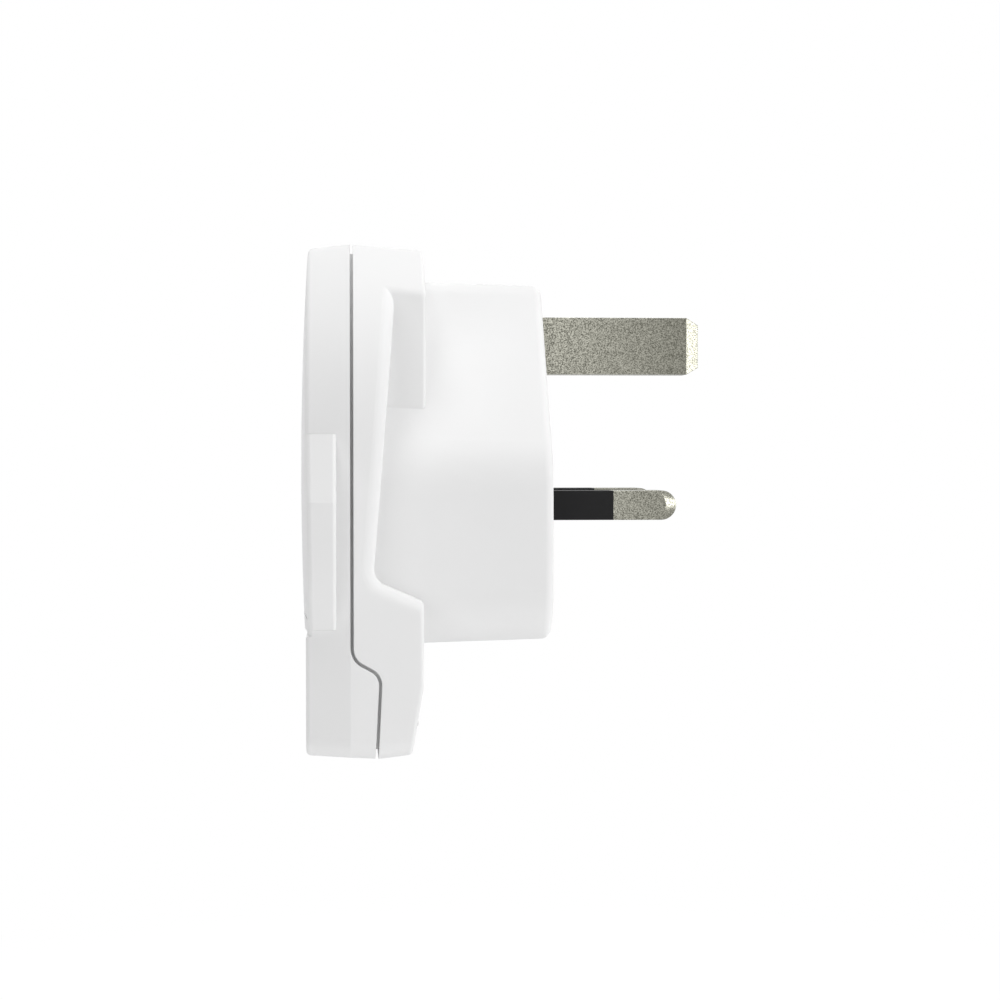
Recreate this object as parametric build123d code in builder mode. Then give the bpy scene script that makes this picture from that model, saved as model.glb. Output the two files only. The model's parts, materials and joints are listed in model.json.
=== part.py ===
import os
from math import atan2, radians, tan

from build123d import *

os.makedirs("parts", exist_ok=True)

# Frame: X points out of the plug face, which is X = 0. Z is up from the live pin axis. Y runs across.
# All sizes are in millimetres.

# Pins of the British 13 A plug
live_pitch = 22.23
earth_rise = 22.225
live_width = 6.35
live_height = 3.97
live_length = 17.7
live_tip_radius = 2.3
live_tip_angle = 30
earth_width = 4.0
earth_height = 8.0
earth_length = 22.73
earth_tip_length = 1.8
earth_tip_bevel = 1.0
sleeve_reach = 9.0
sleeve_wall = 0.5
seat_depth = 3.0
seat_wall = 1.2
tail_side = 3.2

# Clearances
fit_gap = 0.05
panel_gap = 0.15
slide_gap = 0.3
seam_gap = 0.4

# Housing
wall = 2.0
face_wall = 2.2
parting_x = -26.6
back_x = -16.6
housing_half = 29.0
housing_top = 36.35
housing_floor = -32.4
housing_corner = 2.8
inner_corner = 0.8
rear_draft = 4.5
front_draft = 6.5
floor_rear_draft = 6.0
floor_front_draft = 3.2
inner_back_x = back_x - wall
arch_spring = housing_top - housing_half

# Domed front
dome_x = -33.4
dome_z = 4.0
dome_radius_across = 380.0
dome_radius_up = 480.0
front_groove_z = -16.3
front_groove = 0.25
front_edge_radius = 0.6
panel_edge_radius = 0.3
panel_x = -31.0
ledge_x = -29.4
ledge_width = 2.0
panel_inset = 2.7
panel_rise = 1.9
panel_floor = front_groove_z + panel_rise

# Seam between the shells, with the jog above the chin
jog_top_z = -19.5
jog_floor_z = -21.5
chin_seam_x = -22.9
seam_lean = 0.05
jog_radius_top = 2.7
jog_radius_floor = 2.0
lip_inset = 1.3
lip_reach = 1.6

# Chin, standing a little proud of the edge of the dome
chin_proud = 0.436
dome_fall = housing_half**2 / (2 * dome_radius_across) + (dome_z - front_groove_z)**2 / (2 * dome_radius_up)
chin_x = dome_x + dome_fall - chin_proud
chin_wall = 1.6
chin_inner_x = chin_x + chin_wall
chin_pocket_margin = 1.0
chin_back_x = -17.2
chin_slope_z = -23.0
chin_slope_run = 1.6

# Grip ears and grip recesses
ear_back_x = -28.4
ear_rise = 2.15
ear_top = arch_spring + ear_rise
ear_floor = -15.5
ear_flat_top = 0.8
ear_flat_floor = -6.8
ear_proud = 3.0
ear_belly_radius = 20.0
ear_edge_radius = 0.5
grip_floor = 19.0
grip_top_x = -20.6
grip_top_z = 29.0
grip_corner_x = -23.7
grip_corner_z = -9.25
grip_exit_z = -12.4
grip_corner_radius = 2.2
grip_edge_radius = 1.7
back_edge_radius = 0.5
chin_edge_radius = 0.6

# Plug body
plug_half = 24.0
plug_top_half = 5.0
plug_top = 30.5
plug_shoulder = 5.6
plug_floor = -17.75
plug_top_radius = 4.0
plug_shoulder_radius = 11.0
plug_floor_radius = 7.0
plug_draft = 1.6
plug_edge_radius = 1.2

# World socket
socket_z = 6.0
euro_pitch = 19.0
euro_hole = 5.8
flat_pitch = 12.7
flat_slot_width = 2.4
flat_slot_height = 8.2
slant_pitch = 13.7
slant_angle = 30
flat_earth_rise = 11.9
slant_earth_rise = 14.3
swiss_earth_rise = 5.0
earth_hole = 5.8
centre_earth_hole = 5.0

# Shutter behind the live openings
shutter_depth = 3.8
shutter_land = 1.0
shutter_half = 13.4
lug_inner = 4.4
lug_half_height = 2.5
bar_drop = 2.9
bar_height = 3.1
bar_top = socket_z - bar_drop
bar_floor = bar_top - bar_height
bar_depth = 2.8
shutter_travel = 6.9
shutter_x = panel_x + slide_gap
pocket_x = shutter_x + shutter_depth + slide_gap
spring_seat = -11.5
spring_radius = 0.85
spring_wire = 0.36
spring_turns = 6

# Contacts, stamped from strip
strip = 0.6
strip_bend = 0.8
contact_front_x = -26.0
contact_rise = 4.6
contact_drop = 3.6
contact_top = socket_z + contact_rise
contact_pinch = 0.5
contact_outer = 12.5
contact_inner = 5.0
contact_foot = socket_z - contact_drop
tab_overlap = 2.0
tab_inner = 8.4
tab_outer = 13.0
earth_leaf = 2.5
earth_contact_top = 25.2
earth_contact_foot = 3.5

# Contact carrier, with a chamber round each contact
carrier_gap = 0.9
carrier_half = grip_floor - wall - carrier_gap
carrier_top = 27.0
carrier_block_floor = -0.5
spring_seat_wall = 0.5
carrier_floor = spring_seat - spring_seat_wall
carrier_plate_x = -26.0
carrier_corner = 6.0
carrier_foot_corner = 1.0
chamber_gap = 0.5
chamber_inner = contact_inner - strip / 2 - chamber_gap
chamber_outer = contact_outer + strip / 2 + chamber_gap
chamber_floor = contact_foot - chamber_gap
chamber_top = contact_top + strip / 2 + slide_gap
earth_chamber_half = earth_leaf + strip / 2 + chamber_gap
earth_chamber_floor = earth_contact_foot - chamber_gap
earth_chamber_top = earth_contact_top + strip / 2 + slide_gap

# Fuse, its carrier and the well it sits in
fuse_z = 0.5
fuse_x = -5.4
fuse_length = 25.4
fuse_cap_radius = 3.175
fuse_body_radius = 3.05
fuse_cap_length = 5.5
fuse_plate = 2.0
fuse_plate_width = 10.0
fuse_plate_length = 29.0
prise_width = 4.0
prise_depth = 1.2
fuse_cheek = 1.4
fuse_cheek_length = 11.0
fuse_cheek_reach = 2.0
well_wall = 1.2
well_floor_x = -9.6
well_back_x = well_floor_x - well_wall
clip_rise = 10.0
clip_height = 4.4
clip_gap = 0.12
clip_mouth_x = -3.8
clip_foot_width = 2.2
clip_foot_height = 2.8

# USB circuit board and its ports
board_gap = 0.4
board_half = grip_floor - wall - board_gap
board_thickness = 1.5
board_top = -5.8
board_floor = housing_floor + wall + slide_gap
rail_width = 1.2
rail_top = -16.0
usb_width = 13.1
usb_height = 5.7
usb_length = 13.5
usb_pitch = 17.2
usb_sheet = 0.35
usb_corner = 0.5
usb_recess = 0.7
usb_mouth_z = housing_floor + usb_recess
usb_tongue_width = 11.1
usb_tongue = 1.84
usb_tongue_inset = 1.0
usb_tongue_shift = 0.6
usb_block = 1.8
terminal = 0.2
terminal_width = 1.0
terminal_inner = 1.0
terminal_outer = 3.5
usb_x = chin_inner_x + panel_gap
board_front_x = usb_x + usb_height
board_back_x = board_front_x + board_thickness

# Transformer
core_y = 10.0
core_z = -10.3
core_width = 13.0
core_thickness = 5.0
core_length = 11.0
core_yoke = 2.0
core_leg = 3.0
core_window = (core_width - core_leg) / 2 - core_yoke
winding_height = 9.0
winding_corner = 1.4

# Small parts on the board, each with its place across and up
input_capacitor_y = -9.5
input_capacitor_radius = 4.0
input_capacitor_length = 11.0
input_capacitor_edge = 0.5
crimp_rise = 1.6
crimp = 0.4
output_capacitor_y = 3.2
output_capacitor_z = -19.5
output_capacitor_radius = 2.5
output_capacitor_length = 3.8
safety_capacitor_y = -10.5
resistor_y = 14.0
filter_row_z = -20.5
safety_capacitor_radius = 3.2
safety_capacitor_depth = 2.8
safety_capacitor_edge = 0.9
resistor_radius = 1.2
resistor_length = 6.5
chip_row_z = -14.7
chip_row_y = 6.0
chip_width = 4.8
chip_height = 3.8
rectifier_depth = 2.2
controller_depth = 1.5

# Insulated leads
lead_radius = 0.6
line_pad_y = -12.2
line_pad_rise = 2.0
line_pad_z = contact_foot + line_pad_rise
line_entry_y = -15.4
neutral_pad_y = 9.6
neutral_pad_z = 0.0
neutral_entry_y = -1.2
lead_entry_z = -9.0

# Screws
screw_margin = 7.0
screw_y = housing_half - screw_margin
screw_rise = 6.2
screw_z = housing_floor + screw_rise
screw_shank = 2.5
screw_head = 5.0
screw_head_height = 1.8
screw_boss_wall = 1.4
screw_seat_x = -19.6
screw_joint_x = -23.0
screw_end_x = -29.0
driver_length = 2.6
driver_width = 0.7

live_y = live_pitch / 2
live_section = (live_width, live_height)
earth_section = (earth_width, earth_height)
fuse_plate_section = (fuse_plate_width, fuse_plate_length)
clip_foot = (clip_foot_width, clip_foot_height)
seat_x = -face_wall - seat_depth
jog_angle = atan2(jog_top_z - jog_floor_z, chin_seam_x - parting_x)
far = 60.0
dome_axis_x = dome_x + dome_radius_up
dome_rim_x = 2 * dome_axis_x - dome_x - far**2 / (2 * dome_radius_across)


# Sketch plane across the adapter, facing the pins
def across(x):
    return Plane.YZ.offset(x)


# Sketch plane across the adapter, facing the front
def forward(x):
    return Plane(origin=(x, 0, 0), x_dir=(0, -1, 0), z_dir=(-1, 0, 0))


# Arch outline of the housing, moved in by an inset
def arch(plane, inset=0.0, floor=None):
    half = housing_half - inset
    base = housing_floor + inset if floor is None else floor
    with BuildSketch(plane) as outline:
        with BuildLine():
            FilletPolyline(
                (-half, arch_spring), (-half, base), (half, base), (half, arch_spring),
                radius=max(housing_corner - inset, inner_corner),
            )
            ThreePointArc((-half, arch_spring), (0, housing_top - inset), (half, arch_spring))
        make_face()
    return outline.sketch


# Side profile of what lies below the floor, which drops towards the seam of the chin
def below_floor():
    front_rise = (far + chin_seam_x) * tan(radians(floor_front_draft))
    rear_rise = -chin_seam_x * tan(radians(floor_rear_draft))
    with BuildSketch(Plane.XZ) as outline:
        with BuildLine():
            Polyline(
                (-far, housing_floor + front_rise), (chin_seam_x, housing_floor),
                (0, housing_floor + rear_rise), (0, -far), (-far, -far),
                close=True,
            )
        make_face()
    return outline.sketch


# Outline of the plug body: vertical flanks, slanted shoulders, flat top
def plug_outline(plane, inset=0.0):
    with BuildSketch(plane) as outline:
        with BuildLine():
            FilletPolyline(
                (-plug_half, plug_floor), (plug_half, plug_floor), (plug_half, plug_shoulder),
                (plug_top_half, plug_top), (-plug_top_half, plug_top), (-plug_half, plug_shoulder),
                radius=[plug_floor_radius, plug_floor_radius, plug_shoulder_radius,
                        plug_top_radius, plug_top_radius, plug_shoulder_radius],
                close=True,
            )
        make_face()
        if inset:
            offset(amount=-inset, mode=Mode.REPLACE)
    return outline.sketch


# Everything in front of the seam, its edge moved back by a shift
def seam_side(shift=0.0):
    end_x = chin_seam_x - seam_lean * (jog_floor_z + far)
    rise = shift * tan(radians(45) - jog_angle / 2)
    with BuildSketch(Plane.XZ) as outline:
        with BuildLine():
            FilletPolyline(
                (-far, far), (parting_x + shift, far), (parting_x + shift, jog_top_z + rise),
                (chin_seam_x + shift, jog_floor_z + rise), (end_x + shift, -far), (-far, -far),
                radius=[0, 0, jog_radius_top - shift, jog_radius_floor + shift, 0, 0],
                close=True,
            )
        make_face()
    return outline.sketch


# Side profile of the grip recess
def grip_profile(plane, grow=0.0):
    lean = (grip_top_x - grip_corner_x) / (grip_top_z - grip_corner_z)
    top_x = grip_top_x + lean * (far - grip_top_z)
    slope = (grip_exit_z - grip_corner_z) / (back_x - grip_corner_x)
    with BuildSketch(plane) as outline:
        with BuildLine():
            FilletPolyline(
                (top_x, far), (grip_corner_x, grip_corner_z),
                (0, grip_corner_z - slope * grip_corner_x), (0, far),
                radius=[0, grip_corner_radius, 0, 0],
                close=True,
            )
        make_face()
        if grow:
            offset(amount=grow, mode=Mode.REPLACE)
    return outline.sketch


# Wedge cut away behind the chin, moved forward by an inset
def chin_wedge(inset=0.0):
    with BuildSketch(Plane.XZ) as outline:
        with BuildLine():
            Polyline(
                (chin_back_x - inset, plug_shoulder), (chin_back_x - inset, chin_slope_z),
                (chin_back_x - inset - chin_slope_run, housing_floor),
                (chin_back_x - inset - chin_slope_run, -far), (0, -far), (0, plug_shoulder),
                close=True,
            )
        make_face()
    return outline.sketch


# Outline of a grip ear on one side
def ear_outline(side):
    with BuildSketch(across(ear_back_x)) as outline:
        with BuildLine():
            FilletPolyline(
                (side * (housing_half - wall), ear_top), (side * housing_half, ear_top),
                (side * (housing_half + ear_proud), ear_flat_top),
                (side * (housing_half + ear_proud), ear_flat_floor),
                (side * housing_half, ear_floor), (side * (housing_half - wall), ear_floor),
                radius=[0, 0, 0, ear_belly_radius, 0, 0],
                close=True,
            )
        make_face()
    return outline.sketch


# Bent strip of sheet metal
def bent_strip(plane, points):
    with BuildSketch(plane) as outline:
        with BuildLine():
            FilletPolyline(*points, radius=strip_bend)
        trace(line_width=strip)
    return outline.sketch


# Rectangle on a plane, between two corners
def rectangle(plane, first, second):
    with BuildSketch(plane) as outline:
        with BuildLine():
            Polyline(first, (second[0], first[1]), second, (first[0], second[1]), close=True)
        make_face()
    return outline.sketch


# Rectangle on a plane about a centre, grown by a margin
def plate(plane, centre, section, margin=0.0):
    with BuildSketch(plane) as outline:
        with Locations(centre):
            Rectangle(section[0] + 2 * margin, section[1] + 2 * margin)
    return outline.sketch


# Circle on a plane
def disc(plane, centre, radius):
    with BuildSketch(plane) as outline:
        with Locations(centre):
            Circle(radius)
    return outline.sketch


# Openings of the world socket
def socket_openings(plane):
    with BuildSketch(plane) as outline:
        with Locations((-euro_pitch / 2, socket_z), (euro_pitch / 2, socket_z)):
            Circle(euro_hole / 2)
        with Locations((-flat_pitch / 2, socket_z), (flat_pitch / 2, socket_z)):
            Rectangle(flat_slot_width, flat_slot_height)
        for side in (-1, 1):
            with Locations((side * slant_pitch / 2, socket_z)):
                Rectangle(flat_slot_width, flat_slot_height, rotation=-side * slant_angle)
        with Locations((0, socket_z + swiss_earth_rise / 2)):
            SlotCenterToCenter(swiss_earth_rise, centre_earth_hole, rotation=90)
        with Locations((0, socket_z + flat_earth_rise)):
            Circle(earth_hole / 2)
        with Locations((0, socket_z + slant_earth_rise)):
            Rectangle(flat_slot_width, flat_slot_height)
    return outline.sketch


# Outer form of the housing, front and back of the seam plane
with BuildPart() as housing_form:
    extrude(arch(across(parting_x), floor=-far), amount=back_x - parting_x, taper=rear_draft)
    extrude(arch(forward(parting_x), floor=-far), amount=parting_x - dome_x + 1, taper=front_draft)
    extrude(below_floor(), amount=far, both=True, mode=Mode.SUBTRACT)
    fillet(
        [e for e in housing_form.edges()
         if abs(e.center().Z - housing_floor) < wall and abs(e.tangent_at(0.5).X) > 0.9],
        housing_corner,
    )

# Limit of the front: a dome above the groove, a flat below it
with BuildPart() as front_limit:
    with BuildSketch(Plane.XY.offset(dome_z)):
        with BuildLine():
            ThreePointArc((dome_rim_x, -far), (2 * dome_axis_x - dome_x, 0), (dome_rim_x, far))
            Polyline((dome_rim_x, far), (dome_axis_x, far), (dome_axis_x, -far), (dome_rim_x, -far))
        make_face()
    revolve(axis=Axis((dome_axis_x, 0, dome_z), (0, 1, 0)))
    extrude(rectangle(Plane.XZ, (-far, front_groove_z), (0, far)), amount=far, both=True,
            mode=Mode.INTERSECT)
    extrude(rectangle(Plane.XZ, (chin_x, -far), (0, front_groove_z)), amount=far, both=True)

# Lip that bridges the seam inside
with BuildPart() as seam_lip:
    extrude(arch(across(parting_x - lip_reach), lip_inset),
            amount=3 * lip_reach + chin_seam_x - parting_x)
    extrude(arch(across(parting_x - lip_reach), wall), amount=far, mode=Mode.SUBTRACT)
    extrude(seam_side(lip_reach), amount=far, both=True, mode=Mode.INTERSECT)
    extrude(seam_side(-lip_reach), amount=far, both=True, mode=Mode.SUBTRACT)

# Front shell: ring with a ledge for the faceplate, grip ears and a chin with the port openings
with BuildPart() as front_shell:
    add(housing_form.part)
    for side in (-1, 1):
        extrude(ear_outline(side), amount=dome_x - 1 - ear_back_x)
    extrude(seam_side(), amount=far, both=True, mode=Mode.INTERSECT)
    add(front_limit.part, mode=Mode.INTERSECT)
    fillet(
        [e for e in front_shell.edges()
         if e.bounding_box().max.X < ear_back_x - 2 and e.center().Z > front_groove_z + 0.1],
        front_edge_radius,
    )
    fillet(
        [e for e in front_shell.edges()
         if abs(e.center().X - chin_x) < 0.01 and e.center().Z < front_groove_z - 0.1],
        front_edge_radius,
    )
    fillet(
        [e for e in front_shell.edges()
         if abs(e.center().X - ear_back_x) < 0.01 and abs(e.center().Y) > housing_half + ear_edge_radius],
        ear_edge_radius,
    )
    with BuildSketch(Plane.XZ):
        with Locations((chin_x, front_groove_z)):
            Rectangle(2 * front_groove, 2 * front_groove, rotation=45)
    extrude(amount=far, both=True, mode=Mode.SUBTRACT)
    extrude(arch(across(ledge_x), wall), amount=far, mode=Mode.SUBTRACT)
    extrude(rectangle(across(ledge_x), (wall + chin_pocket_margin - housing_half, housing_floor + wall),
                      (housing_half - wall - chin_pocket_margin, front_groove_z - chin_wall)),
            amount=chin_inner_x - ledge_x, mode=Mode.SUBTRACT)
    extrude(arch(across(panel_x), panel_inset, panel_floor), amount=-far, mode=Mode.SUBTRACT)
    extrude(arch(across(ledge_x), panel_inset + ledge_width, panel_floor + ledge_width),
            amount=-far, mode=Mode.SUBTRACT)
    add(seam_lip.part)
    for side in (-1, 1):
        with BuildSketch(Plane.XY.offset(housing_floor - 1)):
            with Locations((usb_x + usb_height / 2, side * usb_pitch / 2)):
                RectangleRounded(usb_height + 2 * panel_gap, usb_width + 2 * panel_gap,
                                 usb_corner + panel_gap)
        extrude(amount=2 * wall, mode=Mode.SUBTRACT)
        extrude(disc(across(chin_inner_x), (side * screw_y, screw_z), screw_shank / 2 + screw_boss_wall),
                amount=screw_joint_x - chin_inner_x)
        extrude(disc(across(screw_end_x - 0.5), (side * screw_y, screw_z), screw_shank / 2 + fit_gap),
                amount=far, mode=Mode.SUBTRACT)
front_shell.part.label = "front_shell"
export_step(front_shell.part, "parts/front_shell.step")

# Faceplate of the world socket
with BuildPart() as socket_faceplate:
    extrude(arch(across(panel_x), panel_inset + panel_gap, panel_floor + panel_gap), amount=-far)
    add(front_limit.part, mode=Mode.INTERSECT)
    fillet(socket_faceplate.faces().sort_by(Axis.X)[0].edges(), panel_edge_radius)
    extrude(socket_openings(across(panel_x - far)), amount=2 * far, mode=Mode.SUBTRACT)
socket_faceplate.part.label = "socket_faceplate"
export_step(socket_faceplate.part, "parts/socket_faceplate.step")

# Plug body, widening slightly away from its face
with BuildPart() as plug_form:
    extrude(plug_outline(forward(0)), amount=-grip_corner_x + wall, taper=-plug_draft)
    fillet(plug_form.faces().sort_by(Axis.X)[-1].edges(), plug_edge_radius)

# Hollow of the rear shell and of the plug body
with BuildPart() as rear_hollow:
    extrude(arch(across(parting_x - 1), wall), amount=inner_back_x - parting_x + 1, taper=rear_draft)
    extrude(chin_wedge(wall), amount=far, both=True, mode=Mode.SUBTRACT)
    extrude(grip_profile(Plane.XZ.offset(grip_floor - wall), wall), amount=far, mode=Mode.SUBTRACT)
    extrude(grip_profile(Plane.XZ.offset(wall - grip_floor), wall), amount=-far, mode=Mode.SUBTRACT)
    extrude(plug_outline(forward(-face_wall), wall), amount=-parting_x - face_wall + 1, taper=-plug_draft)

# Rebate for the lip
with BuildPart() as lip_rebate:
    extrude(arch(across(parting_x - 1), lip_inset - panel_gap), amount=far)
    extrude(seam_side(lip_reach + panel_gap), amount=far, both=True, mode=Mode.INTERSECT)

# Rear shell: back of the housing with the grip recesses, and the plug body in one moulding
with BuildPart() as rear_shell:
    add(housing_form.part)
    extrude(chin_wedge(), amount=far, both=True, mode=Mode.SUBTRACT)
    extrude(grip_profile(Plane.XZ.offset(grip_floor)), amount=far, mode=Mode.SUBTRACT)
    extrude(grip_profile(Plane.XZ.offset(-grip_floor)), amount=-far, mode=Mode.SUBTRACT)
    fillet(
        [e for e in rear_shell.edges()
         if abs(e.center().Y) > grip_floor + 1
         and e.bounding_box().min.X > grip_corner_x - 0.5
         and e.bounding_box().min.X < back_x - 1
         and e.bounding_box().min.Z > grip_exit_z - 1
         and abs(e.tangent_at(0.5).Y) < 0.95
         or abs(abs(e.center().Y) - grip_floor) < 0.01
         and e.bounding_box().min.Z > grip_top_z - wall
         and abs(e.tangent_at(0.5).X) > 0.9],
        grip_edge_radius,
    )
    fillet(
        [e for e in rear_shell.edges()
         if e.bounding_box().min.X > chin_back_x - chin_slope_run - 0.1
         and abs(e.center().Y) > grip_floor and e.center().Z < grip_exit_z + 1],
        chin_edge_radius,
    )
    fillet(
        [e for e in rear_shell.edges()
         if e.bounding_box().min.X > back_x - 0.01 and e.center().Z > plug_shoulder + 1],
        back_edge_radius,
    )
    add(plug_form.part)
    extrude(seam_side(seam_gap), amount=far, both=True, mode=Mode.SUBTRACT)
    add(rear_hollow.part, mode=Mode.SUBTRACT)
    add(lip_rebate.part, mode=Mode.SUBTRACT)
    # Well for the fuse carrier
    extrude(plate(across(well_back_x), (0, fuse_z), fuse_plate_section, panel_gap + well_wall),
            amount=-well_back_x - face_wall / 2)
    extrude(plate(across(well_floor_x), (0, fuse_z), fuse_plate_section, panel_gap),
            amount=far, mode=Mode.SUBTRACT)
    for rise in (-clip_rise, clip_rise):
        extrude(plate(across(well_back_x), (0, fuse_z + rise), clip_foot, 2 * fit_gap),
                amount=well_wall, mode=Mode.SUBTRACT)
    # Seats of the pins
    for side in (-1, 1):
        extrude(plate(across(seat_x), (side * live_y, 0), live_section, seat_wall), amount=seat_depth)
        extrude(plate(across(seat_x), (side * live_y, 0), live_section, fit_gap),
                amount=far, mode=Mode.SUBTRACT)
    extrude(plate(across(seat_x), (0, earth_rise), earth_section, seat_wall), amount=seat_depth)
    extrude(plate(across(seat_x), (0, earth_rise), earth_section, fit_gap), amount=far, mode=Mode.SUBTRACT)
    # Screw bosses and board rails
    for side in (-1, 1):
        extrude(disc(across(screw_joint_x), (side * screw_y, screw_z), screw_head / 2 + screw_boss_wall),
                amount=chin_back_x - wall / 2 - screw_joint_x)
        extrude(disc(across(screw_seat_x), (side * screw_y, screw_z), screw_head / 2 + slide_gap),
                amount=far, mode=Mode.SUBTRACT)
        extrude(disc(across(-far), (side * screw_y, screw_z), screw_shank / 2 + fit_gap),
                amount=2 * far, mode=Mode.SUBTRACT)
        extrude(rectangle(across(board_back_x), (side * (board_half - rail_width), chin_slope_z),
                          (side * board_half, rail_top)),
                amount=chin_back_x - wall / 2 - board_back_x)
rear_shell.part.label = "rear_shell"
export_step(rear_shell.part, "parts/rear_shell.step")

# Line and neutral pins with turned tips, and their sleeves
for name, y in (("line", -live_y), ("neutral", live_y)):
    with BuildPart() as live_pin:
        with BuildSketch(Plane.XZ.offset(-y)):
            with BuildLine():
                Polyline(
                    (live_length - live_height / 2, live_height / 2), (sleeve_reach, live_height / 2),
                    (sleeve_reach, -live_height / 2), (live_length - live_height / 2, -live_height / 2),
                )
                RadiusArc((live_length - live_height / 2, -live_height / 2),
                          (live_length - live_height / 2, live_height / 2), -live_height / 2)
            make_face()
        extrude(amount=live_width / 2, both=True)
        with BuildSketch(Plane.XZ.offset(-y)):
            with BuildLine():
                Polyline(
                    (0, 0), (live_length, 0), (live_length, live_tip_radius),
                    (live_length - live_width / tan(radians(live_tip_angle)), live_tip_radius + live_width),
                    (0, live_tip_radius + live_width),
                    close=True,
                )
            make_face()
        revolve(axis=Axis((0, y, 0), (1, 0, 0)), mode=Mode.INTERSECT)
        extrude(plate(across(seat_x), (y, 0), live_section, -sleeve_wall), amount=sleeve_reach - seat_x)
        extrude(plate(across(well_back_x), (y, 0), (tail_side, live_height - 2 * sleeve_wall)),
                amount=seat_x - well_back_x)
    live_pin.part.label = name + "_pin"
    export_step(live_pin.part, "parts/" + name + "_pin.step")

    with BuildPart() as sleeve:
        extrude(plate(across(seat_x), (y, 0), live_section), amount=sleeve_reach - seat_x)
        extrude(plate(across(-far), (y, 0), live_section, -sleeve_wall), amount=2 * far, mode=Mode.SUBTRACT)
    sleeve.part.label = name + "_sleeve"
    export_step(sleeve.part, "parts/" + name + "_sleeve.step")

# Earth pin with a tip bevelled on four sides
with BuildPart() as earth_pin:
    with BuildSketch(Plane.XZ):
        with BuildLine():
            Polyline(
                (seat_x, earth_rise - earth_height / 2),
                (earth_length - earth_tip_length, earth_rise - earth_height / 2),
                (earth_length, earth_rise - earth_height / 2 + earth_tip_bevel),
                (earth_length, earth_rise + earth_height / 2 - earth_tip_bevel),
                (earth_length - earth_tip_length, earth_rise + earth_height / 2),
                (seat_x, earth_rise + earth_height / 2),
                close=True,
            )
        make_face()
    extrude(amount=earth_width / 2, both=True)
    with BuildSketch(Plane.XY):
        with BuildLine():
            Polyline(
                (-far, -earth_width / 2), (earth_length - earth_tip_length, -earth_width / 2),
                (earth_length, -earth_width / 2 + earth_tip_bevel),
                (earth_length, earth_width / 2 - earth_tip_bevel),
                (earth_length - earth_tip_length, earth_width / 2), (-far, earth_width / 2),
                close=True,
            )
        make_face()
    extrude(amount=far, mode=Mode.INTERSECT)
    extrude(plate(across(well_back_x), (0, earth_rise), (tail_side, tail_side)),
            amount=seat_x - well_back_x)
earth_pin.part.label = "earth_pin"
export_step(earth_pin.part, "parts/earth_pin.step")

# Contact carrier: a guide plate with the shutter pocket, and a block with the contact chambers
with BuildPart() as contact_carrier:
    with BuildSketch(across(panel_x)):
        with BuildLine():
            FilletPolyline(
                (-carrier_half, carrier_floor), (carrier_half, carrier_floor),
                (carrier_half, carrier_top), (-carrier_half, carrier_top),
                radius=[carrier_foot_corner, carrier_foot_corner, carrier_corner, carrier_corner],
                close=True,
            )
        make_face()
    extrude(amount=inner_back_x - panel_x)
    extrude(rectangle(across(carrier_plate_x), (-far, -far), (far, carrier_block_floor)),
            amount=far, mode=Mode.SUBTRACT)
    for side in (-1, 1):
        extrude(rectangle(across(panel_x),
                          (side * (lug_inner - slide_gap), bar_floor - shutter_travel - slide_gap),
                          (side * (shutter_half + slide_gap), chamber_top)),
                amount=pocket_x - panel_x, mode=Mode.SUBTRACT)
        extrude(rectangle(across(panel_x), (side * chamber_inner, chamber_floor),
                          (side * chamber_outer, chamber_top)),
                amount=far, mode=Mode.SUBTRACT)
    extrude(rectangle(across(panel_x), (-lug_inner, bar_floor - shutter_travel - slide_gap),
                      (lug_inner, bar_top + slide_gap)),
            amount=pocket_x - panel_x, mode=Mode.SUBTRACT)
    extrude(rectangle(across(panel_x), (-earth_chamber_half, earth_chamber_floor),
                      (earth_chamber_half, earth_chamber_top)),
            amount=far, mode=Mode.SUBTRACT)
    extrude(rectangle(across(panel_x), (-spring_radius - spring_wire - slide_gap, spring_seat),
                      (spring_radius + spring_wire + slide_gap, bar_floor)),
            amount=pocket_x - panel_x, mode=Mode.SUBTRACT)
contact_carrier.part.label = "contact_carrier"
export_step(contact_carrier.part, "parts/contact_carrier.step")

# Shutter: two ramped lugs joined by a bar
with BuildPart() as shutter:
    with BuildSketch(Plane.XZ.offset(-shutter_half)):
        with BuildLine():
            Polyline(
                (shutter_x, socket_z - lug_half_height), (shutter_x, socket_z - lug_half_height / 2),
                (shutter_x + shutter_depth - shutter_land, socket_z + lug_half_height),
                (shutter_x + shutter_depth, socket_z + lug_half_height),
                (shutter_x + shutter_depth, socket_z - lug_half_height),
                close=True,
            )
        make_face()
    extrude(amount=2 * shutter_half)
    extrude(rectangle(across(shutter_x), (-lug_inner, -far), (lug_inner, far)),
            amount=far, mode=Mode.SUBTRACT)
    extrude(rectangle(across(shutter_x), (-shutter_half, bar_floor), (shutter_half, bar_top)),
            amount=bar_depth)
    for side in (-1, 1):
        extrude(rectangle(across(shutter_x), (side * lug_inner, bar_floor),
                          (side * shutter_half, socket_z - lug_half_height)),
                amount=bar_depth)
shutter.part.label = "shutter"
export_step(shutter.part, "parts/shutter.step")

# Coil spring below the shutter
spring_height = bar_floor - spring_seat - spring_wire
with BuildPart() as shutter_spring:
    with BuildLine() as coil:
        Helix(
            spring_height / spring_turns, spring_height, spring_radius,
            center=(shutter_x + bar_depth / 2, 0, spring_seat + spring_wire / 2),
        )
    with BuildSketch(Plane(coil.line @ 0, z_dir=coil.line % 0)):
        Circle(spring_wire / 2)
    sweep()
shutter_spring.part.label = "shutter_spring"
export_step(shutter_spring.part, "parts/shutter_spring.step")

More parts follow.
